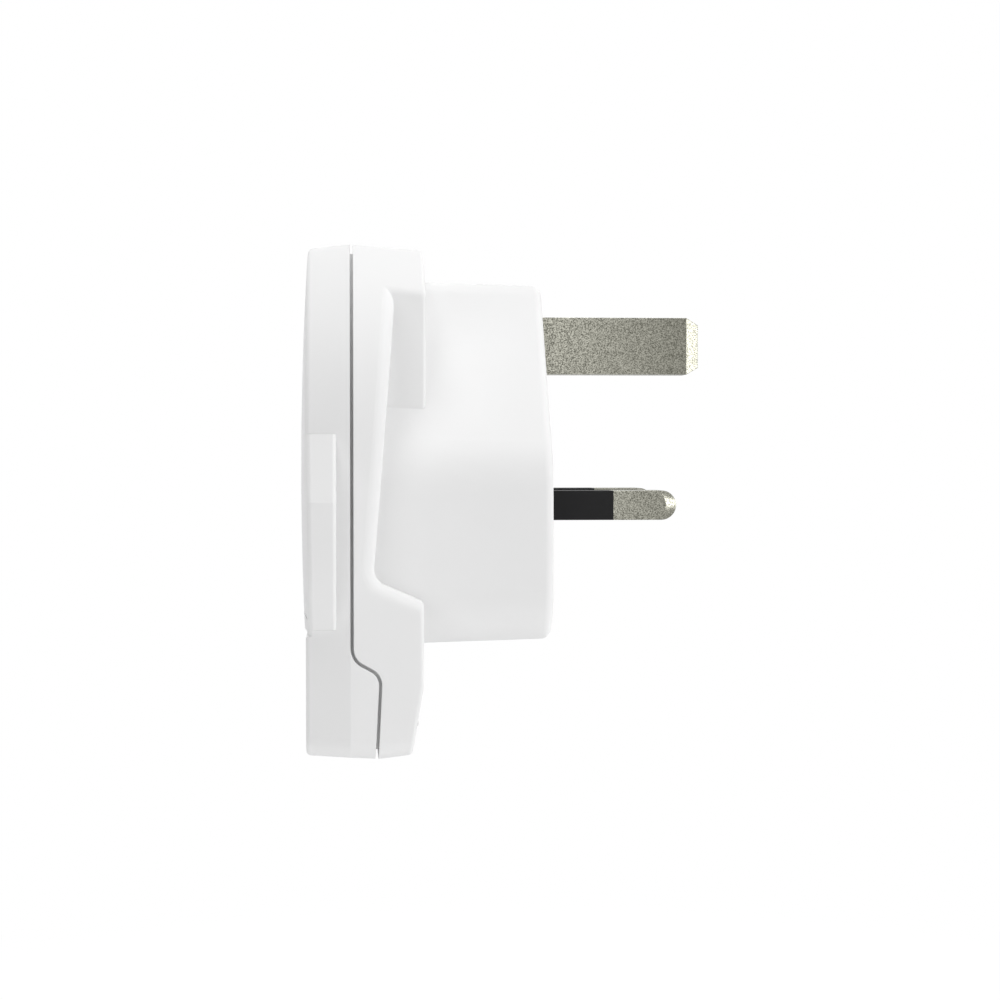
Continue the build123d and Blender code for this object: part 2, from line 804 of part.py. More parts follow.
# Line and neutral contacts: pinched channels with a tab to the plug side
for name, side, tab_x, tab_end in (
    ("line", -1, well_back_x - 1.5 * strip, contact_foot),
    ("neutral", 1, well_back_x - strip / 2, -live_height / 2),
):
    with BuildPart() as contact:
        extrude(
            bent_strip(across(contact_front_x), [
                (side * contact_outer, contact_foot), (side * (contact_outer - contact_pinch), socket_z),
                (side * contact_outer, contact_top), (side * contact_inner, contact_top),
                (side * (contact_inner + contact_pinch), socket_z), (side * contact_inner, contact_foot),
            ]),
            amount=inner_back_x - contact_front_x,
        )
        extrude(
            bent_strip(Plane.XZ.offset(-side * tab_inner),
                       [(inner_back_x - tab_overlap, contact_top), (tab_x, contact_top), (tab_x, tab_end)]),
            amount=-side * (tab_outer - tab_inner),
        )
    contact.part.label = name + "_contact"
    export_step(contact.part, "parts/" + name + "_contact.step")

# Earth contact: a tall channel with a tab to the earth pin
earth_contact_middle = (earth_contact_foot + earth_contact_top) / 2
with BuildPart() as earth_contact:
    extrude(
        bent_strip(across(contact_front_x), [
            (-earth_leaf, earth_contact_foot), (contact_pinch - earth_leaf, earth_contact_middle),
            (-earth_leaf, earth_contact_top), (earth_leaf, earth_contact_top),
            (earth_leaf - contact_pinch, earth_contact_middle), (earth_leaf, earth_contact_foot),
        ]),
        amount=inner_back_x - contact_front_x,
    )
    extrude(
        bent_strip(Plane.XZ.offset(-earth_leaf), [
            (inner_back_x - tab_overlap, earth_contact_top), (well_back_x - strip / 2, earth_contact_top),
            (well_back_x - strip / 2, earth_rise - tail_side / 2),
        ]),
        amount=2 * earth_leaf,
    )
earth_contact.part.label = "earth_contact"
export_step(earth_contact.part, "parts/earth_contact.step")

# Fuse carrier: a flush plate with two cheeks that hold the fuse
with BuildPart() as fuse_carrier:
    extrude(plate(across(-fuse_plate), (0, fuse_z), fuse_plate_section), amount=fuse_plate)
    extrude(plate(across(-fuse_plate / 2), (0, fuse_z + fuse_plate_length / 2),
                  (prise_width, 2 * prise_depth)),
            amount=fuse_plate, mode=Mode.SUBTRACT)
    for side in (-1, 1):
        extrude(plate(across(fuse_x - fuse_cheek_reach),
                      (side * (fuse_body_radius + fit_gap + fuse_cheek / 2), fuse_z),
                      (fuse_cheek, fuse_cheek_length)),
                amount=fuse_cheek_reach - fuse_x - fuse_plate)
fuse_carrier.part.label = "fuse_carrier"
export_step(fuse_carrier.part, "parts/fuse_carrier.step")

fuse_foot = fuse_z - fuse_length / 2
with BuildPart() as fuse_body:
    extrude(disc(Plane.XY.offset(fuse_foot + fuse_cap_length), (fuse_x, 0), fuse_body_radius),
            amount=fuse_length - 2 * fuse_cap_length)
fuse_body.part.label = "fuse_body"
export_step(fuse_body.part, "parts/fuse_body.step")

with BuildPart() as fuse_caps:
    extrude(disc(Plane.XY.offset(fuse_foot), (fuse_x, 0), fuse_cap_radius), amount=fuse_cap_length)
    extrude(disc(Plane.XY.offset(fuse_foot + fuse_length - fuse_cap_length), (fuse_x, 0), fuse_cap_radius),
            amount=fuse_cap_length)
fuse_caps.part.label = "fuse_caps"
export_step(fuse_caps.part, "parts/fuse_caps.step")

# Fuse clips: the supply clip reaches the line pin, the load clip reaches the line contact
clip_half = fuse_cap_radius + clip_gap + strip / 2
clip_base_x = well_floor_x + fit_gap + strip / 2
for name, clip_z, reach in (
    ("supply", fuse_z - clip_rise, (-live_y, 0)),
    ("load", fuse_z + clip_rise, (-tab_outer, fuse_z + clip_rise)),
):
    with BuildPart() as fuse_clip:
        extrude(
            bent_strip(Plane.XY.offset(clip_z - clip_height / 2), [
                (clip_mouth_x, clip_half), (clip_base_x, clip_half),
                (clip_base_x, -clip_half), (clip_mouth_x, -clip_half),
            ]),
            amount=clip_height,
        )
        extrude(plate(across(well_back_x - strip), (0, clip_z), clip_foot),
                amount=clip_base_x - well_back_x + strip)
        with BuildSketch(across(well_back_x - strip)):
            with BuildLine():
                Line((clip_foot_width / 2, clip_z), reach)
            trace(line_width=clip_foot_height)
        extrude(amount=strip)
    fuse_clip.part.label = "fuse_clip_" + name
    export_step(fuse_clip.part, "parts/fuse_clip_" + name + ".step")

# USB circuit board
with BuildPart() as circuit_board:
    extrude(rectangle(across(board_front_x), (-board_half, board_floor), (board_half, board_top)),
            amount=board_thickness)
circuit_board.part.label = "circuit_board"
export_step(circuit_board.part, "parts/circuit_board.step")

# USB ports: a folded shell, a tongue on a block, four terminals
for name, side in (("left", -1), ("right", 1)):
    y = side * usb_pitch / 2
    port_x = usb_x + usb_height / 2
    with BuildPart() as usb_shell:
        with BuildSketch(Plane.XY.offset(usb_mouth_z)):
            with Locations((port_x, y)):
                RectangleRounded(usb_height, usb_width, usb_corner)
                RectangleRounded(usb_height - 2 * usb_sheet, usb_width - 2 * usb_sheet,
                                 usb_corner - usb_sheet, mode=Mode.SUBTRACT)
        extrude(amount=usb_length)
    usb_shell.part.label = "usb_shell_" + name
    export_step(usb_shell.part, "parts/usb_shell_" + name + ".step")

    tongue_x = port_x + usb_tongue_shift
    terminal_x = tongue_x - (usb_tongue + terminal) / 2
    with BuildPart() as usb_tongue_part:
        with BuildSketch(Plane.XY.offset(usb_mouth_z + usb_length - usb_block)):
            with Locations((port_x, y)):
                Rectangle(usb_height - 2 * usb_sheet - 2 * fit_gap, usb_width - 2 * usb_sheet - 2 * fit_gap)
        extrude(amount=usb_block)
        with BuildSketch(Plane.XY.offset(usb_mouth_z + usb_tongue_inset)):
            with Locations((tongue_x, y)):
                Rectangle(usb_tongue, usb_tongue_width)
        extrude(amount=usb_length - usb_tongue_inset - usb_block)
    usb_tongue_part.part.label = "usb_tongue_" + name
    export_step(usb_tongue_part.part, "parts/usb_tongue_" + name + ".step")

    with BuildPart() as usb_terminals:
        with BuildSketch(Plane.XY.offset(usb_mouth_z + 2 * usb_tongue_inset)):
            with Locations(*[(terminal_x, y + step) for step in
                             (-terminal_outer, -terminal_inner, terminal_inner, terminal_outer)]):
                Rectangle(terminal, terminal_width)
        extrude(amount=usb_length - 2 * usb_tongue_inset - usb_block)
    usb_terminals.part.label = "usb_terminals_" + name
    export_step(usb_terminals.part, "parts/usb_terminals_" + name + ".step")

# Transformer: a ferrite frame round a wound bobbin
with BuildPart() as transformer_core:
    extrude(plate(across(board_back_x), (core_y, core_z), (core_width, core_thickness)), amount=core_length)
    for side in (-1, 1):
        extrude(plate(across(board_back_x + core_yoke),
                      (core_y + side * (core_leg + core_window) / 2, core_z),
                      (core_window, 2 * core_thickness)),
                amount=core_length - 2 * core_yoke, mode=Mode.SUBTRACT)
transformer_core.part.label = "transformer_core"
export_step(transformer_core.part, "parts/transformer_core.step")

with BuildPart() as transformer_winding:
    with BuildSketch(across(board_back_x + core_yoke + fit_gap)):
        with Locations((core_y, core_z)):
            RectangleRounded(core_leg + 2 * core_window - 2 * fit_gap, winding_height, winding_corner)
            Rectangle(core_leg + 2 * fit_gap, core_thickness + 2 * fit_gap, mode=Mode.SUBTRACT)
    extrude(amount=core_length - 2 * core_yoke - 2 * fit_gap)
transformer_winding.part.label = "transformer_winding"
export_step(transformer_winding.part, "parts/transformer_winding.step")

# Input capacitor with its crimp groove, standing off the board
capacitor_edge_y = input_capacitor_y + input_capacitor_radius
with BuildPart() as input_capacitor:
    with BuildSketch(Plane.XY.offset(core_z)):
        with BuildLine():
            Polyline(
                (board_back_x, input_capacitor_y), (board_back_x, capacitor_edge_y),
                (board_back_x + crimp_rise - crimp, capacitor_edge_y),
                (board_back_x + crimp_rise, capacitor_edge_y - crimp),
                (board_back_x + crimp_rise + crimp, capacitor_edge_y),
                (board_back_x + input_capacitor_length - input_capacitor_edge, capacitor_edge_y),
                (board_back_x + input_capacitor_length, capacitor_edge_y - input_capacitor_edge),
                (board_back_x + input_capacitor_length, input_capacitor_y),
                close=True,
            )
        make_face()
    revolve(axis=Axis((0, input_capacitor_y, core_z), (1, 0, 0)))
input_capacitor.part.label = "input_capacitor"
export_step(input_capacitor.part, "parts/input_capacitor.step")

# Small parts on the board
with BuildPart() as output_capacitors:
    for y in (-output_capacitor_y, output_capacitor_y):
        extrude(disc(across(board_back_x), (y, output_capacitor_z), output_capacitor_radius),
                amount=output_capacitor_length)
output_capacitors.part.label = "output_capacitors"
export_step(output_capacitors.part, "parts/output_capacitors.step")

with BuildPart() as safety_capacitor:
    extrude(disc(across(board_back_x), (safety_capacitor_y, filter_row_z), safety_capacitor_radius),
            amount=safety_capacitor_depth)
    fillet(safety_capacitor.edges(), safety_capacitor_edge)
safety_capacitor.part.label = "safety_capacitor"
export_step(safety_capacitor.part, "parts/safety_capacitor.step")

with BuildPart() as fusible_resistor:
    extrude(disc(Plane.XZ.offset(-resistor_y), (board_back_x + resistor_radius, filter_row_z),
                 resistor_radius),
            amount=resistor_length)
fusible_resistor.part.label = "fusible_resistor"
export_step(fusible_resistor.part, "parts/fusible_resistor.step")

with BuildPart() as bridge_rectifier:
    extrude(plate(across(board_front_x), (-chip_row_y, chip_row_z), (chip_width, chip_height)),
            amount=-rectifier_depth)
bridge_rectifier.part.label = "bridge_rectifier"
export_step(bridge_rectifier.part, "parts/bridge_rectifier.step")

with BuildPart() as controller_chip:
    extrude(plate(across(board_front_x), (chip_row_y, chip_row_z), (chip_width, chip_height)),
            amount=-controller_depth)
controller_chip.part.label = "controller_chip"
export_step(controller_chip.part, "parts/controller_chip.step")

# Insulated leads from the contact tabs to the board
for name, start, end in (
    ("line", (well_back_x - 2 * strip, line_pad_y, line_pad_z), (board_back_x, line_entry_y, lead_entry_z)),
    ("neutral", (well_back_x - strip, neutral_pad_y, neutral_pad_z),
     (board_back_x, neutral_entry_y, lead_entry_z)),
):
    with BuildPart() as lead:
        with BuildLine() as route:
            Spline(start, end, tangents=[(-1, 0, 0), (-1, 0, 0)])
        with BuildSketch(Plane(route.line @ 0, z_dir=route.line % 0)):
            Circle(lead_radius)
        sweep()
    lead.part.label = name + "_lead"
    export_step(lead.part, "parts/" + name + "_lead.step")

# Housing screws with a driver recess
with BuildPart() as housing_screws:
    for side in (-1, 1):
        extrude(disc(across(screw_end_x), (side * screw_y, screw_z), screw_shank / 2),
                amount=screw_seat_x - screw_end_x)
        extrude(disc(across(screw_seat_x), (side * screw_y, screw_z), screw_head / 2),
                amount=screw_head_height)
        with BuildSketch(across(screw_seat_x + screw_head_height / 2)):
            with Locations((side * screw_y, screw_z)):
                Rectangle(driver_length, driver_width)
                Rectangle(driver_width, driver_length)
        extrude(amount=screw_head_height, mode=Mode.SUBTRACT)
housing_screws.part.label = "housing_screws"
export_step(housing_screws.part, "parts/housing_screws.step")
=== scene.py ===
# %% [markdown]
# # A white travel adapter
#
# The adapter is a British plug with a socket and two charging ports in front. It is seen square from the side,
# as in a shop picture: white plastic on a white ground. The solids come from the CAD model, already in metres
# and in place, so this lesson is about camera, light and finish, and about the springs that the CAD model leaves
# plain. First the frame is loaded.

# %% Load the frame
import json
from math import radians

import bpy
import numpy as np
from mathutils import Euler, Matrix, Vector


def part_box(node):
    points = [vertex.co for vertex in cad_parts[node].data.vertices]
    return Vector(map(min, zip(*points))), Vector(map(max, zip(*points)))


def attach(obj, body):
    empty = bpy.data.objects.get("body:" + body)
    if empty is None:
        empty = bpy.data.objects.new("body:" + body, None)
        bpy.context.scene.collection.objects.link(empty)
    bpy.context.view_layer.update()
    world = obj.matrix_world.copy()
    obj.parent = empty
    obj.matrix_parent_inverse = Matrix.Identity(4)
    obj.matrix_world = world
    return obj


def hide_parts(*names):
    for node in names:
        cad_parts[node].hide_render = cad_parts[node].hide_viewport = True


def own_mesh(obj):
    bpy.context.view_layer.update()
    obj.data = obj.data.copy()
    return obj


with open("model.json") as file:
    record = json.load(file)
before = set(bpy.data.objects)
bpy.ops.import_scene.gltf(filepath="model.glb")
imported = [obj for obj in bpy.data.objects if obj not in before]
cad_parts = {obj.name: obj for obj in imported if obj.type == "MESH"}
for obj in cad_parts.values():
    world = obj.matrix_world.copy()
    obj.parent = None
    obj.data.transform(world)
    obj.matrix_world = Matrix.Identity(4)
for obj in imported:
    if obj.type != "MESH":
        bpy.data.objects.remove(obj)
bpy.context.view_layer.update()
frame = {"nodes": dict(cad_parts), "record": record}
nodes = frame["nodes"]

# %% [markdown]
# ## Camera
#
# The picture was taken from the side, level with the socket and straight in front of the seam between the two
# shells. The pins have standard sizes, so their place in the picture gives the distance and the focal length.
# The adapter sits left of the picture's middle. A lens shift could give that, but it would push the adapter out
# of every other view. So the camera is turned a little instead. Two corners of the pins show where it points.

# %% Camera
picture_size = 1000
camera_place = (-0.02636, -0.294, 0.00668)
camera_turn = (radians(90 - 1.210), radians(0.038), radians(-4.076))
camera_data = bpy.data.cameras.new("side_camera")
camera_data.lens = 74.74
camera_data.sensor_width = 36.0
camera_data.clip_start = 0.01
camera = bpy.data.objects.new("side_camera", camera_data)
camera.location = camera_place
camera.rotation_euler = Euler(camera_turn, "XYZ")
bpy.context.scene.collection.objects.link(camera)
bpy.context.scene.camera = camera


def picture_point(point):
    """Pixel of a point: turned into the camera's axes, then scaled by the focal length over the depth."""
    bpy.context.view_layer.update()
    seen = camera.matrix_world.inverted() @ Vector(point)
    scale = camera_data.lens / camera_data.sensor_width * picture_size / -seen.z
    return round(picture_size / 2 + seen.x * scale, 1), round(picture_size / 2 - seen.y * scale, 1)


earth_pin_shoulder = (0.02093, -0.002, 0.026225)
line_sleeve_end = (0.009, -0.01429, 0.001985)
print("earth pin shoulder", picture_point(earth_pin_shoulder))
print("line pin sleeve end", picture_point(line_sleeve_end))

# %% [markdown]
# ## Nodes
#
# The sky, the finishes and the floor are all made of shader nodes. Written out one by one, adding a node, setting
# its values and linking it take many lines. So one small helper does all three at once. Another tells the rays that
# see a thing from the rays that only carry light to it, because a white room has to look whiter than it shines.


# %% Node helpers
def add_node(tree, kind, sets=None, **takes):
    """Adds a node; sets are its own fields, takes are input values or the sockets that feed them."""
    made = tree.nodes.new("ShaderNode" + kind)
    for field, value in (sets or {}).items():
        setattr(made, field, value)
    for name, value in takes.items():
        socket = made.inputs[int(name[1:])] if name[0] == "_" else made.inputs[name.replace("_", " ")]
        if isinstance(value, bpy.types.NodeSocket):
            tree.links.new(value, socket)
        else:
            socket.default_value = value
    return made


def larger(tree, first, second):
    """The larger of two values."""
    return add_node(tree, "Math", {"operation": "MAXIMUM"}, _0=first, _1=second).outputs[0]


def seeing_ray(tree):
    """1 for a ray from the camera, a glossy or a clear surface, and 0 for a ray that carries light."""
    rays = add_node(tree, "LightPath").outputs
    return larger(tree, larger(tree, rays["Is Camera Ray"], rays["Is Glossy Ray"]), rays["Is Transmission Ray"])


# %% [markdown]
# ## Light
#
# White plastic in front of white needs light that is soft but not the same from all sides, or every form melts
# into the ground. A sky alone would do that, so here it is only a low base. Three lamps shape the adapter: a wide
# one above lifts the faces that look up, one from the front left sets the grip ear off from the shell, and one on
# the plug's side lights the rims that look towards the pins. A fourth fills the far side for the other views. They
# stay low enough that no pale face burns out to plain white.

# %% Sky
sky_level = 0.24
world = bpy.data.worlds.new("white_room")
bpy.context.scene.world = world
world.use_nodes = True
sky = world.node_tree
sky.nodes.clear()
level = add_node(sky, "MapRange", Value=seeing_ray(sky), To_Min=sky_level, To_Max=1.0)
background = add_node(sky, "Background", Color=(1, 1, 1, 1), Strength=level.outputs[0])
add_node(sky, "OutputWorld", Surface=background.outputs[0])
print("sky level", sky_level)

# %% Lamps
lamp_target = Vector((-0.02, 0, 0))


def soft_lamp(name, place, size, watts):
    """A square area lamp that looks from its place towards the common target."""
    lamp = bpy.data.lights.new(name, "AREA")
    lamp.shape = "SQUARE"
    lamp.size = size
    lamp.energy = watts
    holder = bpy.data.objects.new(name, lamp)
    holder.location = place
    holder.rotation_euler = (lamp_target - Vector(place)).to_track_quat("-Z", "Y").to_euler()
    bpy.context.scene.collection.objects.link(holder)


soft_lamp("top_lamp", (-0.02, 0.0, 0.55), size=0.40, watts=2.2)
soft_lamp("front_lamp", (-0.33, -0.49, 0.09), size=0.40, watts=0.85)
soft_lamp("plug_lamp", (0.57, -0.20, 0.08), size=0.30, watts=1.85)
soft_lamp("far_lamp", (-0.22, 0.56, 0.15), size=0.40, watts=1.0)
bpy.context.scene.view_settings.view_transform = "Standard"

# %% [markdown]
# ## Finishes
#
# Each finish is built on the piece's own coordinates in metres, so a grain of 0.1 mm is 0.1 mm on every piece.
# These helpers open and close a material and mix two colours, which keeps the recipes short. The bevel node in the
# recipes rounds sharp edges for the light alone, so the solids stay as they are.


# %% Finish helpers
def start_finish(name):
    """An empty material, its node tree, and the object coordinates that its patterns read."""
    material = bpy.data.materials.new(name)
    material.use_nodes = True
    tree = material.node_tree
    tree.nodes.clear()
    place = add_node(tree, "TexCoord").outputs["Object"]
    return material, tree, place


def end_finish(tree, shader):
    """Joins a shader to the material's output."""
    add_node(tree, "OutputMaterial", Surface=shader.outputs[0])


def mixed(tree, share, first, second):
    """The colour that lies between first and second by the share of second."""
    return add_node(tree, "Mix", {"data_type": "RGBA"}, Factor=share, _6=first, _7=second).outputs[2]


def grey(value):
    """A grey colour with the same value in all three channels."""
    return (value, value, value, 1)


# %% [markdown]
# ## Moulded plastic
#
# The shells are moulded in a steel tool with a fine spark-eroded skin. It shows as a soft satin, not as a gloss.
# A photograph of that skin could be laid on, but it would stretch on the draft faces. So the grain is solid noise
# that bends the normals by a few thousandths of a millimetre, and a slower noise shifts the colour by one part in
# a hundred and the roughness a little. The shells have a very low shine, because at a flat angle any gloss mirrors
# the white room and washes out the domed front.

# %% Moulded plastic recipe
patches_per_metre = 90.0
roughness_drift = 0.05
plastic_edge = 0.0002
edge_samples = 6


def moulded_plastic(name, colour, roughness, grain=0.00012, depth=0.000004, drift=0.012, shine=0.3):
    """Colour times 1 ± drift on a slow noise, roughness on the same noise, bump from a fine noise of grain size."""
    material, tree, place = start_finish(name)
    slow = add_node(tree, "TexNoise", Vector=place, Scale=patches_per_metre, Detail=3.0).outputs["Fac"]
    fine = add_node(tree, "TexNoise", Vector=place, Scale=1 / grain, Detail=2.0).outputs["Fac"]
    dark = tuple(c * (1 - drift) for c in colour) + (1,)
    light = tuple(min(c * (1 + drift), 1) for c in colour) + (1,)
    tint = mixed(tree, slow, dark, light)
    rough = add_node(tree, "MapRange", Value=slow, To_Min=roughness - roughness_drift,
                     To_Max=roughness + roughness_drift)
    rounded = add_node(tree, "Bevel", {"samples": edge_samples}, Radius=plastic_edge)
    bump = add_node(tree, "Bump", Height=fine, Distance=depth, Normal=rounded.outputs[0])
    shader = add_node(tree, "BsdfPrincipled", Base_Color=tint, Roughness=rough.outputs[0],
                      Specular_IOR_Level=shine, Normal=bump.outputs[0])
    end_finish(tree, shader)
    return material


shell_shine = 0.05
finishes = {
    "white_plastic": moulded_plastic("moulded_white", (0.86, 0.86, 0.86), 0.75, shine=shell_shine),
    "face_plastic": moulded_plastic("fine_moulded_white", (0.86, 0.86, 0.865), 0.7, depth=0.000002,
                                    shine=shell_shine),
    "fuse_plastic": moulded_plastic("moulded_white_fuse_carrier", (0.85, 0.85, 0.85), 0.75, shine=shell_shine),
    "carrier_plastic": moulded_plastic("natural_nylon", (0.62, 0.60, 0.55), 0.55),
    "shutter_plastic": moulded_plastic("grey_acetal", (0.55, 0.55, 0.56), 0.4),
    "tongue_plastic": moulded_plastic("white_port_tongue", (0.8, 0.8, 0.8), 0.5),
    "black_sleeve": moulded_plastic("black_pin_sleeve", (0.007, 0.007, 0.0075), 0.55, drift=0.2, shine=0.2),
    "chip_resin": moulded_plastic("black_chip_resin", (0.02, 0.02, 0.02), 0.6, drift=0.2),
    "board_laminate": moulded_plastic("green_board", (0.03, 0.16, 0.06), 0.45, drift=0.1),
    "winding_tape": moulded_plastic("yellow_winding_tape", (0.75, 0.55, 0.08), 0.4, drift=0.05),
    "capacitor_sleeve": moulded_plastic("dark_blue_sleeve", (0.03, 0.04, 0.12), 0.25, drift=0.1),
    "blue_resin": moulded_plastic("blue_dipped_resin", (0.03, 0.12, 0.45), 0.2, drift=0.1),
    "resistor_coat": moulded_plastic("green_lacquer", (0.12, 0.3, 0.12), 0.25, drift=0.1),
    "brown_lead": moulded_plastic("brown_insulation", (0.16, 0.06, 0.03), 0.4, drift=0.1),
    "blue_lead": moulded_plastic("blue_insulation", (0.03, 0.1, 0.4), 0.4, drift=0.1),
    "ferrite": moulded_plastic("sintered_ferrite", (0.06, 0.06, 0.065), 0.7, grain=0.0003, depth=0.00002, drift=0.2),
    "fuse_ceramic": moulded_plastic("unglazed_fuse_tube", (0.78, 0.72, 0.62), 0.7, grain=0.0002, depth=0.00001),
}
print("plastics", len(finishes))

# %% [markdown]
# ## Metals
#
# The pins are brass with a dull nickel plate that was tumbled. It has a fine salt-and-pepper grain with an olive
# cast, quite unlike polished metal, and the finish is made darker towards the tips.
# Anisotropic gloss could stand for brushed metal, but this grain has no direction. So a noise of 0.15 mm mixes a
# dark and a light metal, and the same noise pits the surface. The metals inside use the recipe with less contrast,
# and the port shells stretch the noise along the way that their sheet was rolled.

# %% Metal recipe
metal_edge = 0.00015
grain_from, grain_to = 0.36, 0.64
dark_rougher, light_smoother = 0.1, 0.05
pin_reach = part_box("earth_pin")[1][0]
print("pins reach", round(pin_reach, 5))


def worked_metal(name, dark, light, roughness=0.3, grain=0.0001, depth=0.000004, stretch=(1, 1, 1), tip_darkening=0.0):
    """Dark and light metal mixed by a noise of grain size, with pits of that noise; a share darkens the colour along
    the pins towards the tips.
    """
    material, tree, place = start_finish(name)
    dark, light = dark + (1,), light + (1,)
    mapped = add_node(tree, "Mapping", Vector=place, Scale=tuple(s / grain for s in stretch)).outputs[0]
    noise = add_node(tree, "TexNoise", Vector=mapped, Scale=1.0, Detail=2.0, Roughness=0.6).outputs["Fac"]
    sharp = add_node(tree, "MapRange", Value=noise, From_Min=grain_from, From_Max=grain_to).outputs[0]
    tint = mixed(tree, sharp, dark, light)
    # The colour is made darker along the pin towards its tips, up to the given share of the dark metal.
    if tip_darkening:
        along = add_node(tree, "SeparateXYZ", Vector=place).outputs["X"]
        share = add_node(tree, "MapRange", Value=along, From_Max=pin_reach, To_Max=tip_darkening).outputs[0]
        tint = mixed(tree, share, tint, dark)
    rough = add_node(tree, "MapRange", Value=sharp, To_Min=roughness + dark_rougher,
                     To_Max=roughness - light_smoother)
    rounded = add_node(tree, "Bevel", {"samples": edge_samples}, Radius=metal_edge)
    bump = add_node(tree, "Bump", Height=noise, Distance=depth, Normal=rounded.outputs[0])
    shader = add_node(tree, "BsdfPrincipled", Base_Color=tint, Metallic=1.0, Roughness=rough.outputs[0],
                      Normal=bump.outputs[0])
    end_finish(tree, shader)
    return material


metals = {
    "plated_brass": worked_metal("tumbled_nickel_plate", (0.1, 0.099, 0.079), (0.66, 0.651, 0.562), roughness=0.32,
                                 grain=0.00015, depth=0.00002, tip_darkening=0.62),
    "contact_brass": worked_metal("stamped_brass_strip", (0.62, 0.43, 0.18), (0.80, 0.60, 0.30)),
    "spring_steel": worked_metal("drawn_spring_wire", (0.5, 0.5, 0.52), (0.66, 0.66, 0.68)),
    "screw_steel": worked_metal("zinc_plated_screw", (0.45, 0.46, 0.47), (0.6, 0.6, 0.58), roughness=0.35,
                                grain=0.00015, depth=0.000006),
    "usb_steel": worked_metal("tinned_port_shell", (0.56, 0.56, 0.57), (0.7, 0.7, 0.71), stretch=(0.1, 1, 1)),
    "fuse_metal": worked_metal("plated_fuse_cap", (0.52, 0.51, 0.48), (0.68, 0.67, 0.64)),
    "capacitor_can": worked_metal("capacitor_can", (0.58, 0.58, 0.59), (0.72, 0.72, 0.73)),
}
finishes.update(metals)
print("metals", len(metals))

# %% [markdown]
# ## Put the finishes on
#
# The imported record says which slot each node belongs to. So one loop gives every solid its finish, and nothing is
# left with the plain colour that it was packed with.

# %% Assign
for part in frame["record"]["subparts"]:
    piece = nodes[part["node"]]
    piece.data.materials.clear()
    piece.data.materials.append(finishes[part["material_slot"]])

# %% [markdown]
# ## Surfaces from rings
#
# Two kinds of spring are added here, and both are a wire or strip that runs along a path. Such a shape is an array
# of rings: the path gives one axis of the array, the section the other. Blender can bevel a curve to get the same
# tube, but then its section is always the curve's, and a mesh is needed in the end. So the points come from numpy
# as one array, and one helper joins neighbouring rings with faces and closes both ends.


# %% Rings to a piece
def ring_faces(rings, around, first=0):
    """Quads between neighbouring rings, and one closing face at each end, counted on from the first point."""
    start = (np.arange(rings - 1)[:, None] * around + np.arange(around)).ravel() + first
    turned = (np.arange(rings - 1)[:, None] * around + (np.arange(around) + 1) % around).ravel() + first
    sides = np.column_stack([start, turned, turned + around, start + around]).tolist()
    low_end = (np.arange(around)[::-1] + first).tolist()
    high_end = (np.arange(around) + first + (rings - 1) * around).tolist()
    return sides + [low_end, high_end]


def piece_of_rings(name, tubes, slot):
    """One mesh object from a list of ring arrays (rings, points around, xyz), with the finish of its slot."""
    counts = [tube.shape[0] * tube.shape[1] for tube in tubes]
    firsts = np.cumsum([0] + counts[:-1]).tolist()
    faces = [face for tube, first in zip(tubes, firsts) for face in ring_faces(*tube.shape[:2], first)]
    mesh = bpy.data.meshes.new(name)
    mesh.from_pydata(np.concatenate([tube.reshape(-1, 3) for tube in tubes]).tolist(), [], faces)
    mesh.materials.append(finishes[slot])
    piece = bpy.data.objects.new(name, mesh)
    bpy.context.scene.collection.objects.link(piece)
    print(name, len(mesh.polygons), "faces")
    return piece


# %% [markdown]
# ## Shutter spring
#
# Behind the socket's openings a shutter slides down when a plug pushes in, and a coil spring lifts it again. The
# CAD spring is a plain helix that keeps its length. A real one has end turns that lie flat on their seats, and it
# shortens. The coil made here gets such flat end turns, but it keeps the length of the CAD spring's box.

# %% Shutter spring
spring_wire = 0.00036
spring_turns = 7
flat_turns = 0.9
wire_sides = 12
rings_per_turn = 32


def coil(low, high):
    """Rings of the wire's circle along a helix in the box, which climbs one wire in each flat end, evenly between."""
    around = np.linspace(0, 2 * np.pi, wire_sides, endpoint=False)
    turn = np.linspace(0, spring_turns, spring_turns * rings_per_turn + 1)
    rise = high.z - low.z - spring_wire
    height = np.interp(turn, [0, flat_turns, spring_turns - flat_turns, spring_turns],
                       [0, spring_wire, rise - spring_wire, rise])
    radius = (high.y - low.y - spring_wire) / 2
    outwards = np.column_stack([np.cos(2 * np.pi * turn), np.sin(2 * np.pi * turn), np.zeros_like(turn)])
    middle = np.array([(low.x + high.x) / 2, (low.y + high.y) / 2, low.z + spring_wire / 2])
    path = middle + radius * outwards + height[:, None] * np.array([0, 0, 1])
    ahead = np.gradient(path, axis=0)
    ahead /= np.linalg.norm(ahead, axis=1, keepdims=True)
    upwards = np.cross(ahead, outwards)
    ring = np.cos(around)[:, None] * outwards[:, None, :] + np.sin(around)[:, None] * upwards[:, None, :]
    return path[:, None, :] + spring_wire / 2 * ring


seat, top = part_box("shutter_spring")
shutter_spring = piece_of_rings("shutter_coil", [coil(seat, top)], "spring_steel")
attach(shutter_spring, "housing")
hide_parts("shutter_spring")
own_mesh(shutter_spring)

# %% [markdown]
# ## Port springs
#
# Look into a charging port and you see leaf springs: narrow tongues stamped out of the steel sheet and bowed
# inwards, which hold the plug. They could be cut out of the shell with booleans, but the CAD shell stays as it is.
# So each leaf is a thin flat section carried along a bowed path. Its ends sink into the sheet, where a real leaf
# joins it, and its middle stands free. Four leaves make one piece for each port. The two on the tongue's side bow
# less, because the tongue leaves less room there.

# %% Port springs
sheet = 0.00035
leaf_length, leaf_half, leaf_thick, leaf_chamfer = 0.0058, 0.0011, 0.0003, 0.00006
leaf_sink, leaf_apart, leaf_start, leaf_rings = 0.0001, 0.0033, 0.0025, 41
low_rise, high_rise = 0.00065, 0.0004


